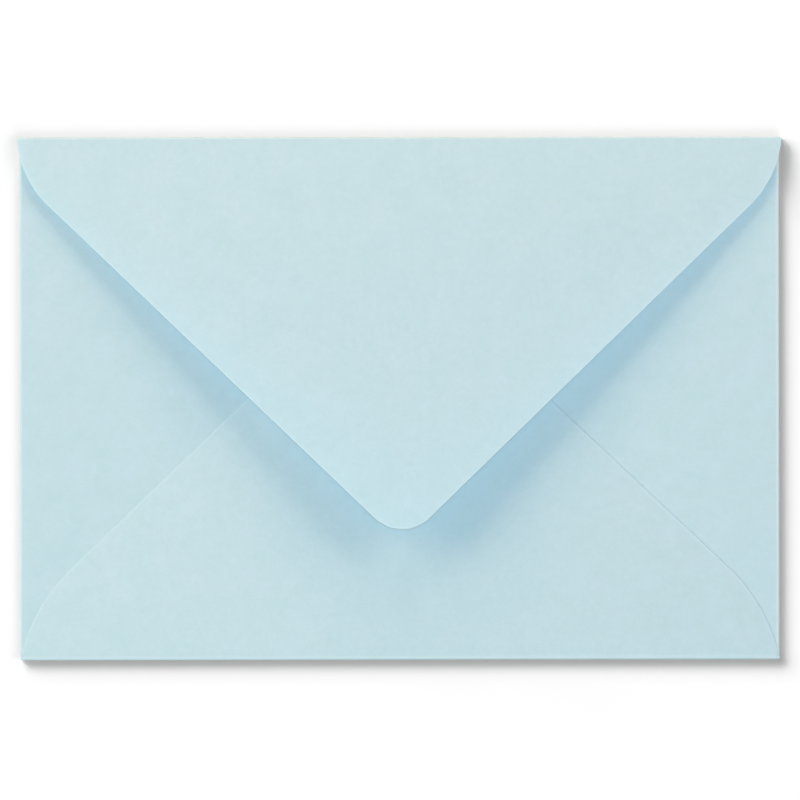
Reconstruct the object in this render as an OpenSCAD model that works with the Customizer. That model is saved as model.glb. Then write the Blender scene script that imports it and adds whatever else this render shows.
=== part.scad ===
// Paper envelope with a pointed seal flap, cut and folded from one sheet.
// It lies on its address side with the flaps up. The top fold is towards +Y, and the
// origin is under the middle of the address side. All sizes are in millimetres.

/* [Sheet] */
// Thickness of the paper
paper_t = 0.15; // [0.1:0.01:0.25]

/* [Body] */
// Width over the two side folds
body_w = 162; // [144:0.5:230]
// Height over the top and bottom folds
body_h = 111.5; // [100:0.5:162]
// Room for the letter, between the address side and the side flaps
pocket_gap = 0.5; // [0.3:0.05:2]
// Distance from the top fold to the start of the side folds
top_relief = 2.5; // [1.5:0.1:5]
// Distance from the bottom fold to the start of the side folds
bottom_relief = 1.5; // [1.2:0.1:4]

/* [Top flap] */
// Angle at which the flap springs up from lying flat
flap_spring = 4.5; // [1:0.1:12]
// Air under the flap at its fold, over the side flaps
flap_air = 0.1; // [0.05:0.05:0.5]
// How far the flap's base stands out past each side fold
top_overhang = 0.5; // [0:0.1:1]
// Distance from the fold to where the two slanting cuts would meet
top_point = 86.7; // [60:0.1:96]
// Offset of that point from the middle
top_point_x = 0.5; // [-3:0.1:3]
// Distance from the fold to where the short side cut would meet the slanting cut
top_ear = 8.9; // [5:0.1:14]
// How far that corner stands in from the end of the flap's base
top_ear_in = 0.7; // [0.1:0.1:4]
// Radius of the shoulder, between the side cut and the slanting cut
top_shoulder_r = 26; // [4:0.5:30]
// Radius of the flap's tip
top_tip_r = 8.3; // [2:0.1:20]

/* [Bottom flap] */
// How far the flap's base stands in from the flat part of the side flaps
bottom_inset = 0.05; // [0.05:0.05:1]
// Distance from the fold to where the two slanting cuts would meet
bottom_point = 86.1; // [60:0.1:94]
// Offset of that point from the middle
bottom_point_x = -0.6; // [-4:0.1:4]
// Distance from the fold to where the short side cut would meet the slanting cut
bottom_ear = 12; // [5:0.1:20]
// How far that corner stands in from the end of the flap's base
bottom_ear_in = 2.5; // [0.1:0.1:6]
// Radius of the shoulder, between the side cut and the slanting cut
bottom_shoulder_r = 37.5; // [4:0.5:50]
// Radius of the flap's tip, which lies under the top flap
bottom_tip_r = 9; // [2:0.5:20]

/* [Side flaps] */
// Distance from the side fold to where the two slanting cuts would meet
side_point = 68; // [40:0.5:70]
// Height of that point above the bottom fold
side_point_h = 57; // [40:0.5:70]
// Radius of the flap's tip
side_tip_r = 10; // [2:0.5:20]

/* [Hidden] */

// Steps in each rounded corner of a cut edge
corner_steps = 16;
// Share of an edge that a rounded corner may take up at most
corner_share = 0.98;

// Heights of the layers: the address side lies at zero, and the glued flaps lie face to face
side_z = paper_t + pocket_gap;
bottom_z = side_z + paper_t;

// Outer radii of the three kinds of fold, each as tall as the layers it goes round
side_r = (side_z + paper_t) / 2;
bottom_r = (bottom_z + paper_t) / 2;
top_r = (bottom_z + paper_t + flap_air) / 2;

// Half of each pointed flap's base, along its fold
top_half = body_w / 2 + top_overhang;
bottom_half = body_w / 2 - side_r - bottom_inset;

// Where the axes of the folds run, and where the side folds begin and end
top_axis_y = body_h / 2 - top_r;
bottom_axis_y = body_h / 2 - bottom_r;
side_axis_x = body_w / 2 - side_r;
side_high_y = body_h / 2 - top_relief;
side_low_y = bottom_relief - body_h / 2;

// Angle swept by a fold that lies flat
flat_turn = 180;

function unit(v) = v / norm(v);

// Points along a corner at b, between the edges from a and to c, rounded to radius r
function rounded(a, b, c, r) =
    let (
        to_a = unit(a - b),
        to_c = unit(c - b),
        half_angle = acos(to_a * to_c) / 2,
        reach = min(r / tan(half_angle), corner_share * min(norm(a - b), norm(c - b))),
        round_r = reach * tan(half_angle),
        centre = b + unit(to_a + to_c) * round_r / sin(half_angle),
        from_a = b + to_a * reach - centre,
        across = to_a * -round_r,
        sweep = 180 - 2 * half_angle
    )
    [for (i = [0 : corner_steps])
        let (angle = sweep * i / corner_steps)
        centre + from_a * cos(angle) + across * sin(angle)];

// Outline of a pointed flap that hangs down from its fold. The fold runs along X with
// its axis at zero, and r is its outer radius, so its outer edge is at y = r.
function pointed_outline(half, r, point, point_x, ear, ear_in, shoulder_r, tip_r) =
    let (
        right_base = [half, 0],
        right_ear = [half - ear_in, r - ear],
        tip = [point_x, r - point],
        left_ear = [ear_in - half, r - ear],
        left_base = [-half, 0]
    )
    concat(
        [right_base],
        rounded(right_base, right_ear, tip, shoulder_r),
        rounded(right_ear, tip, left_ear, tip_r),
        rounded(tip, left_ear, left_base, shoulder_r),
        [left_base]
    );

module envelope() {
    color("#c5e1e8") {
        address_side();
        side_flap();
        mirror([1, 0, 0]) side_flap();
        bottom_flap();
        top_flap();
    }
}

// Plain face for the address, with its corners cut back between the folds
module address_side() {
    right = [
        [bottom_half, -bottom_axis_y],
        [body_w / 2, side_low_y],
        [side_axis_x, side_low_y],
        [side_axis_x, side_high_y],
        [body_w / 2, side_high_y],
        [top_half, top_axis_y]
    ];
    left = [for (i = [len(right) - 1 : -1 : 0]) [-right[i].x, right[i].y]];
    linear_extrude(height = paper_t) polygon(concat(right, left));
}

// Side flap on the right, folded over the pocket
module side_flap() {
    length = side_high_y - side_low_y;
    high = [0, length];
    low = [0, 0];
    tip = [side_r - side_point, side_point_h - bottom_relief];
    translate([side_axis_x, side_low_y, side_r]) {
        translate([0, length / 2, 0]) rotate([0, 0, -90]) fold(side_r, flat_turn, length);
        translate([0, 0, side_r - paper_t])
            linear_extrude(height = paper_t)
                polygon(concat([low, high], rounded(high, tip, low, side_tip_r)));
    }
}

// Bottom flap, glued down on the side flaps
module bottom_flap() {
    outline = pointed_outline(
        bottom_half, bottom_r, bottom_point, bottom_point_x,
        bottom_ear, bottom_ear_in, bottom_shoulder_r, bottom_tip_r);
    mirror([0, 1, 0])
        translate([0, bottom_axis_y, bottom_r]) {
            fold(bottom_r, flat_turn, 2 * bottom_half);
            translate([0, 0, bottom_r - paper_t])
                linear_extrude(height = paper_t) polygon(outline);
        }
}

// Top flap, folded over last. It isn't stuck down, so it springs up towards its tip.
// Fold and flap are one bent strip, and the outline cuts it as seen from above.
module top_flap() {
    outline = pointed_outline(
        top_half, top_r, top_point, top_point_x,
        top_ear, top_ear_in, top_shoulder_r, top_tip_r);
    strip_half = top_half + top_r;
    strip_len = top_point / cos(flap_spring);
    over_fold = [[-top_half, 2 * top_r], [top_half, 2 * top_r]];
    translate([0, top_axis_y, 0])
        intersection() {
            translate([0, 0, top_r]) {
                fold(top_r, flat_turn - flap_spring, 2 * strip_half);
                rotate([-flap_spring, 0, 0])
                    translate([-strip_half - top_r, -strip_len, top_r - paper_t])
                        cube([2 * (strip_half + top_r), strip_len, paper_t]);
            }
            translate([0, 0, -top_r])
                linear_extrude(height = strip_len) polygon(concat(over_fold, outline));
        }
}

// Rolled fold along X, centred on its own axis. The sheet comes in below and goes
// round the +Y side.
module fold(outer_r, turn, length) {
    rotate([90, 0, 90])
        translate([0, 0, -length / 2])
            rotate([0, 0, -90])
                rotate_extrude(angle = turn, $fn = 96)
                    translate([outer_r - paper_t, 0])
                        square([paper_t, length]);
}

envelope();
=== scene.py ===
"""A pale blue paper envelope on a pale floor, seen from above under soft studio light.

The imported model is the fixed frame. Over it the envelope is modelled as what it is: one thin
sheet, folded at four creases and cut to its outline. Lengths are in metres.
"""

import math

import bmesh
import bpy
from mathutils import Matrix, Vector


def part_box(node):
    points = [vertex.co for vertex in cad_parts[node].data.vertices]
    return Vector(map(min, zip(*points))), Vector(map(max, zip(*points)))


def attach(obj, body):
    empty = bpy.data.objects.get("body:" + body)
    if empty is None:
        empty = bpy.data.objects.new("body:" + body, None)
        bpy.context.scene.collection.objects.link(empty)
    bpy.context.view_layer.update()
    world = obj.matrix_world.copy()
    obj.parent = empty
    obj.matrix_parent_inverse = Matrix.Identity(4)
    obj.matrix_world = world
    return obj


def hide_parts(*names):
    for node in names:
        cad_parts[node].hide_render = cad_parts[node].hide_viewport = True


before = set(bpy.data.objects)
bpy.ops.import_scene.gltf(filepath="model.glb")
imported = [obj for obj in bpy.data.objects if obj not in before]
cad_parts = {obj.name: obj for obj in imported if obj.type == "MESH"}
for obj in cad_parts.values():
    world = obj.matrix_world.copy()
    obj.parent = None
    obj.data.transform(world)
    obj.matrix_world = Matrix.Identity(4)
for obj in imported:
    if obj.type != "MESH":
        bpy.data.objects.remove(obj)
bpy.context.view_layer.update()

HIGH_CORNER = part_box("envelope")[1]

MM = 0.001

# Paper and the gaps between its layers. The film of glue is only here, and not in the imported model.
PAPER = 0.15 * MM
POCKET = 0.5 * MM
GLUE = 0.02 * MM
FLAP_AIR = 0.1 * MM

# Address side. The top flap's base stands out past the side folds by the overhang, and the
# side folds begin and end at the reliefs.
OVERHANG = 0.5 * MM
HALF_W = HIGH_CORNER.x - OVERHANG
HALF_H = HIGH_CORNER.y
TOP_RELIEF = 2.5 * MM
BOTTOM_RELIEF = 1.5 * MM

# Top flap: its cut, measured from its fold, and how far it springs up
TOP_POINT = 86.7 * MM
TOP_POINT_X = 0.5 * MM
TOP_EAR = 8.9 * MM
TOP_EAR_IN = 0.7 * MM
TOP_SHOULDER_R = 26 * MM
TOP_TIP_R = 8.3 * MM
FLAP_SPRING = math.radians(4.5)

# Bottom flap: its cut, and how far its base stands in from the outer edge of the side folds. It
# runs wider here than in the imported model, for the square corners in the photo.
BOTTOM_INSET = 0.05 * MM
BOTTOM_POINT = 86.1 * MM
BOTTOM_POINT_X = -0.6 * MM
BOTTOM_EAR = 12 * MM
BOTTOM_EAR_IN = 2.9 * MM
BOTTOM_SHOULDER_R = 37.5 * MM
BOTTOM_TIP_R = 9 * MM

# Side flaps
SIDE_POINT = 68 * MM
SIDE_POINT_H = 57 * MM
SIDE_TIP_R = 10 * MM

# Heights of the middle of the paper, layer by layer, and the folds' radii to the same line
ADDRESS_Z = PAPER / 2
SIDE_Z = ADDRESS_Z + PAPER + POCKET
BOTTOM_Z = SIDE_Z + PAPER + GLUE
TOP_Z = SIDE_Z + PAPER + FLAP_AIR
SIDE_R = (SIDE_Z - ADDRESS_Z) / 2
BOTTOM_R = (BOTTOM_Z - ADDRESS_Z) / 2
TOP_R = (TOP_Z - ADDRESS_Z) / 2

# Axes of the folds, the ends of the side folds, and half of each pointed flap's base
SIDE_AXIS_X = HALF_W - SIDE_R - PAPER / 2
TOP_AXIS_Y = HALF_H - TOP_R - PAPER / 2
BOTTOM_AXIS_Y = BOTTOM_R + PAPER / 2 - HALF_H
SIDE_HIGH_Y = HALF_H - TOP_RELIEF
SIDE_LOW_Y = BOTTOM_RELIEF - HALF_H
TOP_HALF = HALF_W + OVERHANG
BOTTOM_HALF = HALF_W - BOTTOM_INSET

# Rims along the edges of the flaps and of the address side, and the share of the paper's
# thickness that the die leaves at a cut edge
RIM = 0.5 * MM
ADDRESS_RIM = 0.12 * MM
PRESSED = 0.5

# How much the folds on the right and below are painted lighter: partly rubbed wear, partly a painted
# highlight
RIGHT_FOLD_WEAR_AND_HIGHLIGHT = 0.75
BOTTOM_FOLD_WEAR_AND_HIGHLIGHT = 0.6

# Steps round a fold and round a corner of a cut, and the most of an edge that such a corner takes up
FOLD_STEPS = 16
CORNER_STEPS = 14
CORNER_SHARE = 0.98

# Slack in looking for a place on the mesh, how near two points are merged, and the angle
# between two faces up to which the bend looks smooth
HAIR = 0.005 * MM
WELD = HAIR / 10
SMOOTH_BEND = math.radians(40)


def linear(hex_colour):
    """An sRGB hex colour as linear red, green, blue and alpha."""
    channels = [int(hex_colour[i:i + 2], 16) / 255 for i in (1, 3, 5)]
    return [c / 12.92 if c <= 0.04045 else ((c + 0.055) / 1.055) ** 2.4 for c in channels] + [1]


# Modelling the sheet in edit mode


def edit_mesh():
    """The mesh that is being modelled."""
    return bmesh.from_edit_mesh(bpy.context.edit_object.data)


def pick_edges(rule):
    """Select the edges whose middle follows the rule, and nothing else."""
    bpy.ops.mesh.select_mode(type="EDGE")
    bpy.ops.mesh.select_all(action="DESELECT")
    for edge in edit_mesh().edges:
        if not edge.hide and rule((edge.verts[0].co + edge.verts[1].co) / 2):
            edge.select_set(True)


def pick_faces(rule):
    """Select the faces whose middle follows the rule, and nothing else."""
    bpy.ops.mesh.select_mode(type="FACE")
    bpy.ops.mesh.select_all(action="DESELECT")
    for face in edit_mesh().faces:
        if not face.hide and rule(face.calc_center_median()):
            face.select_set(True)


def cut(point, outward, keep_all=False):
    """Cut what is selected along an upright plane. What lies outwards goes, unless all is kept."""
    bpy.ops.mesh.bisect(
        plane_co=(point.x, point.y, 0), plane_no=(outward.x, outward.y, 0), clear_outer=not keep_all)


def cut_shown(point, outward, keep_all=False):
    """The same cut through all that isn't hidden."""
    bpy.ops.mesh.select_all(action="SELECT")
    cut(point, outward, keep_all)


def outward_of(a, b):
    """The level direction to the right of the way from a to b: outwards, if that goes anticlockwise."""
    return Vector((b.y - a.y, a.x - b.x)).normalized()


def cut_outline(corners, radii):
    """Trim what is shown to a convex outline, anticlockwise, with its corners rounded to the radii.

    The outline is open: its first and last points lie on the fold.
    """
    for a, b in zip(corners, corners[1:]):
        cut_shown(a, outward_of(a, b))
    for a, b, c, radius in zip(corners, corners[1:], corners[2:], radii):
        to_a = (a - b).normalized()
        to_c = (c - b).normalized()
        half_angle = to_a.angle(to_c) / 2
        shorter = min((a - b).length, (c - b).length)
        reach = min(radius / math.tan(half_angle), CORNER_SHARE * shorter)
        radius = reach * math.tan(half_angle)
        centre = b + (to_a + to_c).normalized() * radius / math.sin(half_angle)
        first = (b + to_a * reach - centre).normalized()
        across = -to_a
        sweep = math.pi - 2 * half_angle
        for i in range(1, CORNER_STEPS):
            turn = sweep * i / CORNER_STEPS
            normal = first * math.cos(turn) + across * math.sin(turn)
            cut_shown(centre + normal * radius, normal)


def leave_rim(width=RIM):
    """Leave a narrow strip along the edges of what is shown, where a bend or a pressed edge ends."""
    bpy.ops.mesh.select_mode(type="FACE")
    bpy.ops.mesh.select_all(action="SELECT")
    bpy.ops.mesh.inset(thickness=width, use_boundary=True, use_even_offset=True)


def press_down():
    """Lower the cut edge of the bottom flap, so that pressed thin it still lies on the side flaps."""
    bpy.ops.mesh.select_mode(type="VERT")
    bpy.ops.mesh.select_all(action="DESELECT")
    for vert in edit_mesh().verts:
        if vert.is_boundary and not vert.hide and vert.co.y > BOTTOM_AXIS_Y + HAIR:
            vert.select_set(True)
    bpy.ops.transform.translate(value=(0, 0, (PRESSED - 1) * PAPER / 2))


def show_only(rule):
    """Hide all but the faces that follow the rule."""
    pick_faces(rule)
    bpy.ops.mesh.hide(unselected=True)


def address_side():
    """The plain side: a rectangle with its corners cut back between the folds."""
    bpy.ops.mesh.primitive_plane_add(size=1, location=(0, 0, 0))
    sheet = bpy.context.object
    bpy.ops.object.mode_set(mode="EDIT")
    middle = (TOP_AXIS_Y + BOTTOM_AXIS_Y) / 2
    bpy.ops.transform.resize(value=(2 * TOP_HALF, TOP_AXIS_Y - BOTTOM_AXIS_Y, 1))
    bpy.ops.transform.translate(value=(0, middle, ADDRESS_Z))
    for y in (SIDE_LOW_Y, SIDE_HIGH_Y):
        cut_shown(Vector((0, y)), Vector((0, 1)), keep_all=True)
    for side in (-1, 1):
        cut_shown(Vector((side * SIDE_AXIS_X, 0)), Vector((side, 0)), keep_all=True)
    pick_faces(lambda p: abs(p.x) > SIDE_AXIS_X and SIDE_LOW_Y < p.y < SIDE_HIGH_Y)
    bpy.ops.mesh.delete(type="FACE")
    for side in (-1, 1):
        for notch_y, base in (
            (SIDE_HIGH_Y, Vector((side * TOP_HALF, TOP_AXIS_Y))),
            (SIDE_LOW_Y, Vector((side * BOTTOM_HALF, BOTTOM_AXIS_Y))),
        ):
            notch = Vector((side * HALF_W, notch_y))
            outward = outward_of(notch, base)
            if outward.x * side < 0:
                outward = -outward
            pick_faces(lambda p: abs(p.y) > abs(notch_y) and p.y * notch_y > 0)
            cut(notch, outward)
    leave_rim(ADDRESS_RIM)
    return sheet


def fold_over(edge_rule, axis_point, axis, angle, move):
    """Roll the sheet round a fold, and then run it on flat."""
    pick_edges(edge_rule)
    bpy.ops.mesh.spin(steps=FOLD_STEPS, angle=angle, center=axis_point, axis=axis)
    bpy.ops.mesh.extrude_region_move(TRANSFORM_OT_translate={"value": move})


def side_flap(side):
    """A side flap, folded over the pocket."""
    fold_over(
        lambda p: abs(p.x - side * SIDE_AXIS_X) < HAIR and SIDE_LOW_Y < p.y < SIDE_HIGH_Y,
        (side * SIDE_AXIS_X, 0, ADDRESS_Z + SIDE_R),
        (0, side, 0),
        math.pi,
        (-side * (SIDE_POINT - SIDE_R - PAPER / 2), 0, 0),
    )
    show_only(lambda p: abs(p.z - SIDE_Z) < HAIR and p.x * side > 0 and abs(p.x) < SIDE_AXIS_X - HAIR)
    tip = Vector((side * (HALF_W - SIDE_POINT), SIDE_POINT_H - HALF_H))
    high = Vector((side * SIDE_AXIS_X, SIDE_HIGH_Y))
    low = Vector((side * SIDE_AXIS_X, SIDE_LOW_Y))
    corners = [high, tip, low]
    if side < 0:
        corners.reverse()
    cut_outline(corners, [SIDE_TIP_R])
    leave_rim()
    bpy.ops.mesh.reveal(select=False)


def pointed_corners(half, edge_y, way, point, point_x, ear, ear_in, axis_y):
    """Corners of a pointed flap, from the left end of its base round its tip to the right end.

    The flap points towards +Y if the way is 1, and towards -Y if it is -1.
    """
    return [
        Vector((-half, axis_y)),
        Vector((ear_in - half, edge_y + way * ear)),
        Vector((point_x, edge_y + way * point)),
        Vector((half - ear_in, edge_y + way * ear)),
        Vector((half, axis_y)),
    ]


def bottom_flap():
    """The bottom flap, folded up and glued down on the side flaps."""
    fold_over(
        lambda p: abs(p.y - BOTTOM_AXIS_Y) < HAIR and p.z < SIDE_R,
        (0, BOTTOM_AXIS_Y, ADDRESS_Z + BOTTOM_R),
        (1, 0, 0),
        math.pi,
        (0, BOTTOM_POINT - BOTTOM_R - PAPER / 2, 0),
    )
    show_only(lambda p: abs(p.z - BOTTOM_Z) < HAIR and p.y > BOTTOM_AXIS_Y + HAIR)
    corners = pointed_corners(
        BOTTOM_HALF, -HALF_H, 1, BOTTOM_POINT, BOTTOM_POINT_X, BOTTOM_EAR, BOTTOM_EAR_IN, BOTTOM_AXIS_Y)
    corners.reverse()
    cut_outline(corners, [BOTTOM_SHOULDER_R, BOTTOM_TIP_R, BOTTOM_SHOULDER_R])
    leave_rim()
    press_down()
    bpy.ops.mesh.reveal(select=False)


def top_flap():
    """The top flap, folded over last. It isn't stuck down, so it springs up at its fold."""
    turn = math.pi - FLAP_SPRING
    rise = Vector((0, -math.cos(FLAP_SPRING), math.sin(FLAP_SPRING)))
    fold_over(
        lambda p: abs(p.y - TOP_AXIS_Y) < HAIR and p.z < SIDE_R,
        (0, TOP_AXIS_Y, ADDRESS_Z + TOP_R),
        (-1, 0, 0),
        turn,
        rise * TOP_POINT / math.cos(FLAP_SPRING),
    )
    fold_end = TOP_AXIS_Y + TOP_R * math.sin(FLAP_SPRING)
    show_only(lambda p: p.z > TOP_Z - HAIR and p.y < fold_end - HAIR)
    corners = pointed_corners(
        TOP_HALF, HALF_H, -1, TOP_POINT, TOP_POINT_X, TOP_EAR, TOP_EAR_IN, TOP_AXIS_Y)
    cut_outline(corners, [TOP_SHOULDER_R, TOP_TIP_R, TOP_SHOULDER_R])
    leave_rim()
    bpy.ops.mesh.reveal(select=False)


def mark_edges(sheet):
    """Mark the folds on the right and below, painted lighter as rubbed wear and as a painted highlight,
    and the cut edges, pressed thin and painted lighter as cut fibres and as a painted highlight.
    """
    pressed = sheet.vertex_groups.new(name="pressed by the die")
    mesh = edit_mesh()
    fold_wear_and_highlight = mesh.verts.layers.float.new("fold_wear_and_highlight")
    cut_edge_and_highlight = mesh.verts.layers.float.new("cut_edge_and_highlight")
    group = mesh.verts.layers.deform.verify()
    for vert in mesh.verts:
        x, y, z = vert.co
        at_side = abs(x) > SIDE_AXIS_X - HAIR and z < SIDE_Z + HAIR
        at_top = y > TOP_AXIS_Y - HAIR
        at_bottom = y < BOTTOM_AXIS_Y + HAIR
        # Painted highlight: the folds below and on the right are painted lighter, partly as rubbed wear
        if at_bottom:
            vert[fold_wear_and_highlight] = BOTTOM_FOLD_WEAR_AND_HIGHLIGHT
        elif at_side and x > 0:
            vert[fold_wear_and_highlight] = RIGHT_FOLD_WEAR_AND_HIGHLIGHT
        # Painted highlight: the cut edges are painted lighter, partly as cut fibres; they are also
        # pressed thin
        on_cut = vert.is_boundary and not (at_side or at_top or at_bottom)
        vert[cut_edge_and_highlight] = on_cut
        vert[group][pressed.index] = on_cut
    bmesh.update_edit_mesh(sheet.data)


def envelope_sheet():
    """The whole sheet, folded, and given its thickness last."""
    bpy.ops.object.select_all(action="DESELECT")
    sheet = address_side()
    side_flap(-1)
    side_flap(1)
    bottom_flap()
    top_flap()
    bpy.ops.mesh.select_all(action="SELECT")
    bpy.ops.mesh.remove_doubles(threshold=WELD)
    bpy.ops.mesh.normals_make_consistent(inside=False)
    mark_edges(sheet)
    bpy.ops.object.mode_set(mode="OBJECT")
    bpy.ops.object.transform_apply(location=True, rotation=True, scale=True)
    sheet.name = "envelope_sheet"
    solidify = sheet.modifiers.new("paper thickness", "SOLIDIFY")
    solidify.thickness = PAPER
    solidify.offset = 0
    solidify.vertex_group = sheet.vertex_groups[0].name
    solidify.invert_vertex_group = True
    solidify.thickness_vertex_group = PRESSED
    bpy.ops.object.modifier_apply(modifier=solidify.name)
    bpy.ops.object.shade_smooth_by_angle(angle=SMOOTH_BEND)
    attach(sheet, "root")
    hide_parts("envelope")
    return sheet


# Materials

# Size of the faint clouds in the paper's look and of its grain, and how much lighter and darker,
# and how high, the grain is
CLOUD_SIZE = 6 * MM
GRAIN_SIZE = 1.6 * MM
GRAIN_SHADE = 0.09
GRAIN_HEIGHT = 0.004 * MM

# Colours of the clouds, of a fold that is rubbed and has a painted highlight, of a cut edge with its
# cut fibres and a painted highlight, and of light that has come through
DARK_CLOUD = "#BFDEE2"
LIGHT_CLOUD = "#CBE2EA"
FOLD_WEAR_AND_HIGHLIGHT = "#DCEDED"
CUT_EDGE_AND_HIGHLIGHT = "#CAE5EB"
THROUGH = "#B3E7F9"

# Share of the light that the paper sends on through itself
THROUGH_SHARE = 0.3


def socket(sockets, name):
    """The socket in use that has this name, or this number."""
    if isinstance(name, int):
        return sockets[name]
    return next(each for each in sockets if each.name == name and each.enabled)


def add_node(tree, kind, settings=None, inputs=None, links=None):
    """A node with its settings, its input values, and its links from (node, socket)."""
    node = tree.nodes.new(kind)
    for name, value in (settings or {}).items():
        setattr(node, name, value)
    for name, value in (inputs or {}).items():
        socket(node.inputs, name).default_value = value
    for name, (source, output) in (links or {}).items():
        tree.links.new(socket(source.outputs, output), socket(node.inputs, name))
    return node


def dyed_paper():
    """Uncoated wood-free paper, dyed pale blue in the pulp, formed on a wire and calendered lightly.

    It is matt, a little cloudy, and finely grained. Some light shines through it. Along its cut edges
    it is painted lighter, partly for the cut fibres and partly as a painted highlight, and the folds on
    the right and below are painted lighter, partly as rubbed wear and partly as a painted highlight.
    Its fibres are 0.02 mm thick, too fine to show, so the finest grain is drawn ten times as coarse.
    """
    material = bpy.data.materials.new("uncoated dyed paper")
    material.use_nodes = True
    tree = material.node_tree
    shader = tree.nodes["Principled BSDF"]
    shader.inputs["Roughness"].default_value = 0.9
    shader.inputs["Specular IOR Level"].default_value = 0.3
    place = add_node(tree, "ShaderNodeTexCoord")
    clouds = add_node(
        tree, "ShaderNodeTexNoise",
        inputs={"Scale": 1 / CLOUD_SIZE, "Detail": 2, "Roughness": 0.8},
        links={"Vector": (place, "Object")})
    grain = add_node(
        tree, "ShaderNodeTexNoise",
        inputs={"Scale": 1 / GRAIN_SIZE, "Detail": 3, "Roughness": 1},
        links={"Vector": (place, "Object")})
    cloudy = add_node(
        tree, "ShaderNodeMix", {"data_type": "RGBA"},
        {"A": linear(DARK_CLOUD), "B": linear(LIGHT_CLOUD)}, {"Factor": (clouds, "Fac")})
    shade = add_node(
        tree, "ShaderNodeMapRange", inputs={"To Min": 1 - GRAIN_SHADE, "To Max": 1 + GRAIN_SHADE},
        links={"Value": (grain, "Fac")})
    grained = add_node(
        tree, "ShaderNodeVectorMath", {"operation": "SCALE"},
        links={"Vector": (cloudy, "Result"), "Scale": (shade, "Result")})
    # Painted highlight on the folds on the right and below, mixed with rubbed wear
    fold_wear_and_highlight = add_node(tree, "ShaderNodeAttribute", {"attribute_name": "fold_wear_and_highlight"})
    folds_worn_and_highlighted = add_node(
        tree, "ShaderNodeMix", {"data_type": "RGBA"}, {"B": linear(FOLD_WEAR_AND_HIGHLIGHT)},
        {"Factor": (fold_wear_and_highlight, "Fac"), "A": (grained, "Vector")})
    # Painted highlight along the cut edges, mixed with the lighter cut fibres
    cut_edge_and_highlight = add_node(tree, "ShaderNodeAttribute", {"attribute_name": "cut_edge_and_highlight"})
    edges_worn_and_highlighted = add_node(
        tree, "ShaderNodeMix", {"data_type": "RGBA"}, {"B": linear(CUT_EDGE_AND_HIGHLIGHT)},
        {"Factor": (cut_edge_and_highlight, "Fac"), "A": (folds_worn_and_highlighted, "Result")})
    tree.links.new(socket(edges_worn_and_highlighted.outputs, "Result"), shader.inputs["Base Color"])
    relief = add_node(
        tree, "ShaderNodeBump", inputs={"Strength": 0.3, "Distance": GRAIN_HEIGHT},
        links={"Height": (grain, "Fac")})
    tree.links.new(relief.outputs["Normal"], shader.inputs["Normal"])
    see_through = add_node(tree, "ShaderNodeBsdfTranslucent", inputs={"Color": linear(THROUGH)})
    surface = add_node(
        tree, "ShaderNodeMixShader", inputs={0: THROUGH_SHARE},
        links={1: (shader, 0), 2: (see_through, 0)})
    tree.links.new(surface.outputs[0], tree.nodes["Material Output"].inputs["Surface"])
    return material


def background_card():
    """Matt pale background card, lit so brightly that it looks white."""
    material = bpy.data.materials.new("matt pale card")
    material.use_nodes = True
    shader = material.node_tree.nodes["Principled BSDF"]
    shader.inputs["Base Color"].default_value = (CARD_REFLECTS, CARD_REFLECTS, CARD_REFLECTS, 1)
    shader.inputs["Roughness"].default_value = 1.0
    shader.inputs["Specular IOR Level"].default_value = 0.0
    return material


# Stage, light and camera

# The card: its width, how far under the envelope it lies, and the share of light that it reflects
FLOOR_SIZE = 40.0
FLOOR_GAP = 0.02 * MM
CARD_REFLECTS = 0.5

# Strength of the even light from all round, and how far from the envelope the lights stand
DOME = 0.1
LIGHT_DISTANCE = 1.2

# Lights on the envelope: direction and height in degrees, size across and up, power, and colour.
# The low ones are warm and the one above is cool, which makes the shadow under the flap blue.
SOFTBOXES = {
    "softbox_above": (0, 90, 0.15, 0.15, 8.85, (0.53, 0.772, 1)),
    "softbox_back": (90, 16, 0.9, 0.5, 8.1, (1, 0.63, 0.435)),
    "softbox_right": (28, 23, 0.85, 0.5, 10.3, (1, 0.706, 0.5)),
    "softbox_left": (150, 22.5, 0.85, 0.5, 13.3, (1, 0.665, 0.43)),
    "softbox_front": (236, 22, 0.6, 0.5, 9.3, (1, 0.988, 0.854)),
}

# Lights on the card: direction, height and spread in degrees, and the share that each gives of
# the light that makes the card look white
SUNS = {
    "sun_left": (161, 13, 16, 0.14),
    "sun_corner": (135, 14, 20, 0.37),
    "sun_back": (109, 15, 16, 0.14),
    "sun_right": (345, 23, 30, 0.155),
    "sun_front": (285, 23, 30, 0.155),
}

# The photo's width and scale in pixels, which give the width of the frame, and its centre and roll
PHOTO_WIDTH_PX = 800
PX_PER_MM = 4.683
FRAME_W = PHOTO_WIDTH_PX / PX_PER_MM * MM
VIEW_CENTRE = Vector((0.085 * MM, -0.363 * MM, 0))
ROLL = math.radians(-0.1)

# Lens, and how many times nearer and farther than the envelope the camera still sees
LENS_MM = 200
SENSOR_MM = 36
CLIP_RANGE = 100


def floor():
    """The card that the envelope lies on."""
    bpy.ops.mesh.primitive_plane_add(size=FLOOR_SIZE, location=(0, 0, -FLOOR_GAP))
    ground = bpy.context.object
    ground.name = "floor"
    ground.data.materials.append(background_card())
    return ground


def direction(azimuth, elevation):
    """The unit vector that points from the envelope to a light."""
    around = math.radians(azimuth)
    above = math.radians(elevation)
    level = math.cos(above)
    return Vector((level * math.cos(around), level * math.sin(around), math.sin(above)))


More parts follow.
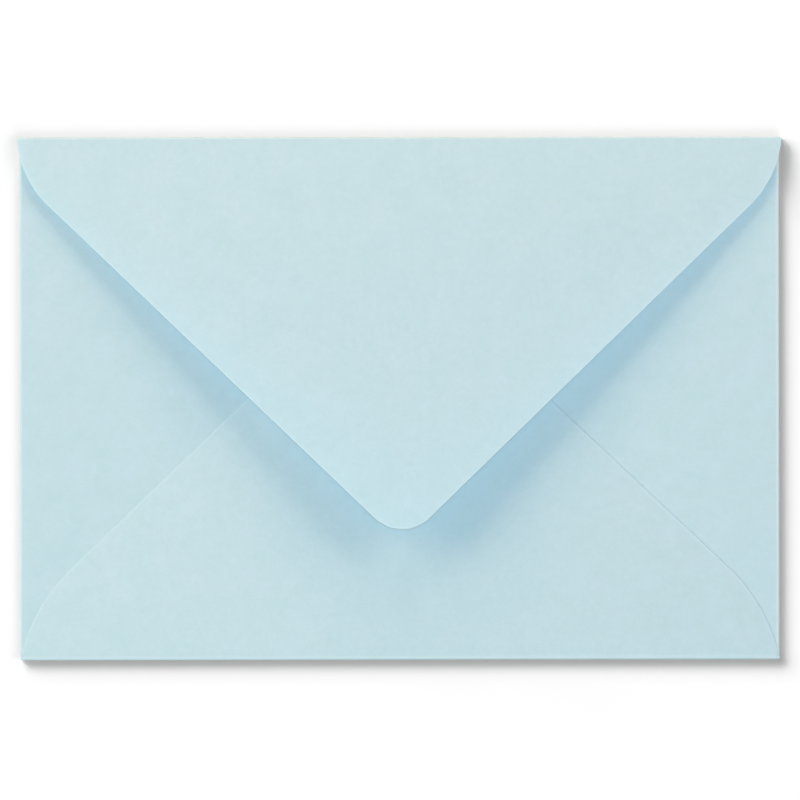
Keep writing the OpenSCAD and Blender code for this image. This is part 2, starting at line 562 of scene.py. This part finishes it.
def light_on(thing):
    """A collection with one thing in it, for the lights that light nothing else."""
    receivers = bpy.data.collections.new("light on the " + thing.name)
    receivers.objects.link(thing)
    return receivers


def add_light(kind, name, place, power, receivers):
    """A light that faces the envelope and lights the receivers only."""
    bpy.ops.object.light_add(type=kind, location=place)
    light = bpy.context.object
    light.name = name
    light.data.energy = power
    light.rotation_euler = place.to_track_quat("Z", "Y").to_euler()
    light.light_linking.receiver_collection = receivers
    return light


def dome():
    """Even white light from all round."""
    world = bpy.data.worlds.new("studio")
    bpy.context.scene.world = world
    world.use_nodes = True
    background = world.node_tree.nodes["Background"]
    background.inputs["Color"].default_value = (1, 1, 1, 1)
    background.inputs["Strength"].default_value = DOME


def softboxes(receivers):
    """The lights on the envelope."""
    for name, (azimuth, elevation, across, up, power, colour) in SOFTBOXES.items():
        place = direction(azimuth, elevation) * LIGHT_DISTANCE
        softbox = add_light("AREA", name, place, power, receivers)
        softbox.data.shape = "RECTANGLE"
        softbox.data.size = across
        softbox.data.size_y = up
        softbox.data.color = colour


def suns(receivers):
    """The lights on the card. A low sun is spread thin there, so it has more power for its share."""
    for name, (azimuth, elevation, spread, share) in SUNS.items():
        place = direction(azimuth, elevation) * LIGHT_DISTANCE
        power = share * math.pi / math.sin(math.radians(elevation)) / CARD_REFLECTS
        sun = add_light("SUN", name, place, power, receivers)
        sun.data.angle = math.radians(spread)


def camera():
    """The camera straight above, as the photo was taken."""
    distance = FRAME_W * LENS_MM / SENSOR_MM
    bpy.ops.object.camera_add(location=VIEW_CENTRE + Vector((0, 0, distance)), rotation=(0, 0, ROLL))
    eye = bpy.context.object
    eye.data.lens = LENS_MM
    eye.data.sensor_width = SENSOR_MM
    eye.data.clip_start = distance / CLIP_RANGE
    eye.data.clip_end = distance * CLIP_RANGE
    bpy.context.scene.camera = eye


sheet = envelope_sheet()
sheet.data.materials.append(dyed_paper())
ground = floor()
dome()
softboxes(light_on(sheet))
suns(light_on(ground))
camera()
bpy.context.scene.view_settings.view_transform = "Standard"
